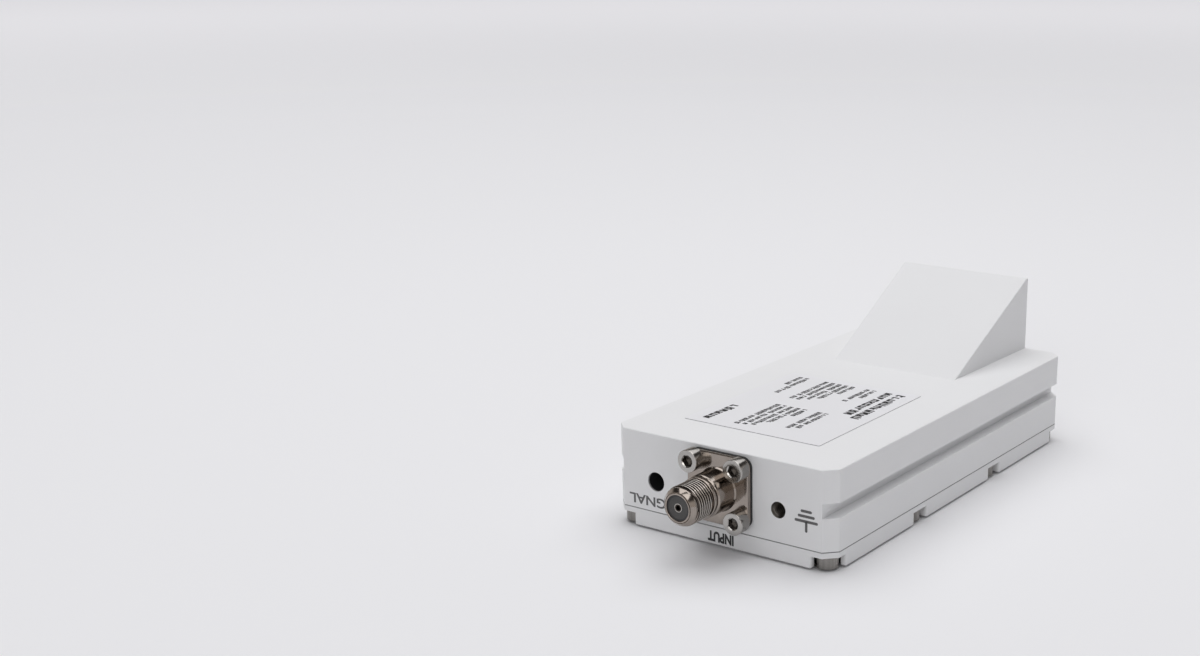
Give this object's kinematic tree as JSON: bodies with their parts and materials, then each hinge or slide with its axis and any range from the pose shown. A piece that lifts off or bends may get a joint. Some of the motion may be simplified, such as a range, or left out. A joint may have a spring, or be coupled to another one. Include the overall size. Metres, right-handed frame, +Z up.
{
  "type": "satellite lnb",
  "caption": "Low-noise block converter in a flat milled box: threaded cable jack in front, screwed cover below, wedge behind with a rectangular waveguide port.",
  "frame": {"origin": "middle of the box's underside, on the face that it stands on", "axes": "+Z up, -Y the way the cable jack points, +Y the way the waveguide port faces"},
  "size_m": [0.062, 0.137, 0.0441],
  "materials": {
    "white_paint": "satin white powder coat on milled aluminium",
    "black_rubber": "matte black elastomer",
    "stainless": "plain stainless steel",
    "nickel": "nickel-plated brass, turned",
    "grey_plastic": "dark grey moulded plastic",
    "white_plastic": "white fluoropolymer",
    "contact_metal": "plated contact metal",
    "label_film": "white printed film",
    "board": "glass-filled laminate with green mask",
    "tinned_sheet": "tinned sheet",
    "chip_plastic": "black moulding compound",
    "capacitor_can": "bare aluminium can",
    "ferrite": "dark ferrite",
    "absorber_foam": "dark grey absorber sheet",
    "lamp_plastic": "tinted lamp plastic"
  },
  "bodies": {
    "root": {"housing": "white_paint", "cover": "white_paint", "cover_seal": "black_rubber", "cover_screws": "stainless", "connector_body": "nickel", "connector_gasket": "black_rubber", "connector_screws": "stainless", "connector_insulator": "grey_plastic", "connector_rear_bead": "white_plastic", "centre_contact": "contact_metal", "rating_label": "label_film", "circuit_board": "board", "board_screws": "stainless", "waveguide_probe": "contact_metal", "probe_bead": "white_plastic", "screening_can": "tinned_sheet", "input_transistors": "chip_plastic", "mixer_chip": "chip_plastic", "synthesiser_chip": "chip_plastic", "reference_crystal": "tinned_sheet", "output_amplifier": "chip_plastic", "voltage_regulator": "chip_plastic", "smoothing_capacitors": "capacitor_can", "power_inductor": "ferrite", "absorber_pad": "absorber_foam", "status_lamp": "lamp_plastic"}
  },
  "joints": []
}
